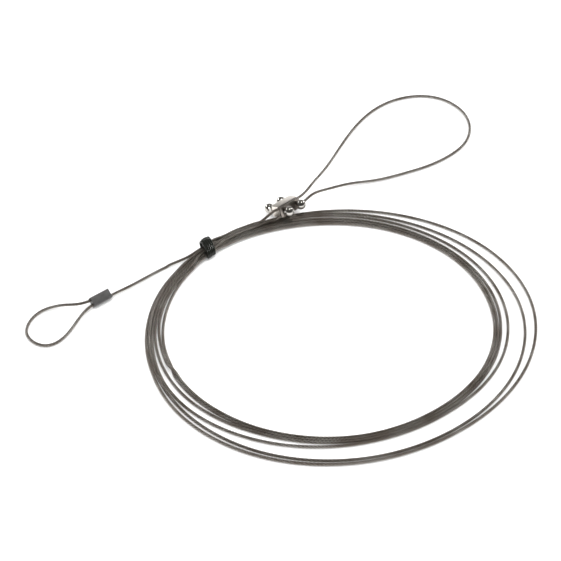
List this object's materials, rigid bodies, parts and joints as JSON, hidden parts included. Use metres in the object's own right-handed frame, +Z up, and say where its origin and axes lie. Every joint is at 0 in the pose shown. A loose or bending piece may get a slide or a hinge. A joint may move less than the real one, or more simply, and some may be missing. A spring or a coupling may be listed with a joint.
{
  "type": "coiled wire rope lanyard",
  "caption": "Coiled steel wire rope lanyard with a small pressed eye, a large eye closed by a bolted clamp, and a coated wire tie.",
  "frame": {"origin": "on the ground, under the middle of the lanyard's bounding box", "axes": "+X from the small pressed eye towards the large clamped eye, +Y from the coil towards the two eyes, +Z up from the surface that the coil lies on"},
  "size_m": [0.4002, 0.2996, 0.014],
  "materials": {
    "rope_steel": "stranded stainless wire, grey brown with dark valleys between the strands",
    "ferrule_aluminium": "pressed, dull grey with die marks",
    "clamp_steel": "satin",
    "polished_steel": "polished",
    "tie_coating": "glossy black green plastic coating over wire"
  },
  "bodies": {
    "lanyard": {"rope_fixed_eye": "rope_steel", "rope_coil": "rope_steel", "rope_large_eye": "rope_steel", "ferrule": "ferrule_aluminium", "wire_tie": "tie_coating", "clamp_body": "clamp_steel"},
    "plate": {"clamp_plate": "clamp_steel", "bolt_coil_side": "polished_steel", "bolt_eye_side": "polished_steel"},
    "nut_coil": {"cap_nut_coil_side": "polished_steel"},
    "nut_eye": {"cap_nut_eye_side": "polished_steel"}
  },
  "joints": [
    {"name": "nut_coil_spin", "type": "hinge", "parent": "lanyard", "child": "nut_coil", "pos_m": [0.00677, 0.093, 0.00613], "axis": [-0.1917, 0.9319, -0.3078], "range_deg": [0, 1080]},
    {"name": "nut_eye_spin", "type": "hinge", "parent": "lanyard", "child": "nut_eye", "pos_m": [0.01903, 0.09516, 0.00504], "axis": [-0.1917, 0.9319, -0.3078], "range_deg": [0, 1080]},
    {"name": "plate_slide", "type": "slide", "parent": "lanyard", "child": "plate", "axis": [0.1917, -0.9319, 0.3078], "range_m": [0, 0.0015]}
  ],
  "couplings": [
    {"joint": "nut_coil_spin", "follows": "plate_slide", "rad_per_m": 12566},
    {"joint": "nut_eye_spin", "follows": "plate_slide", "rad_per_m": 12566}
  ]
}
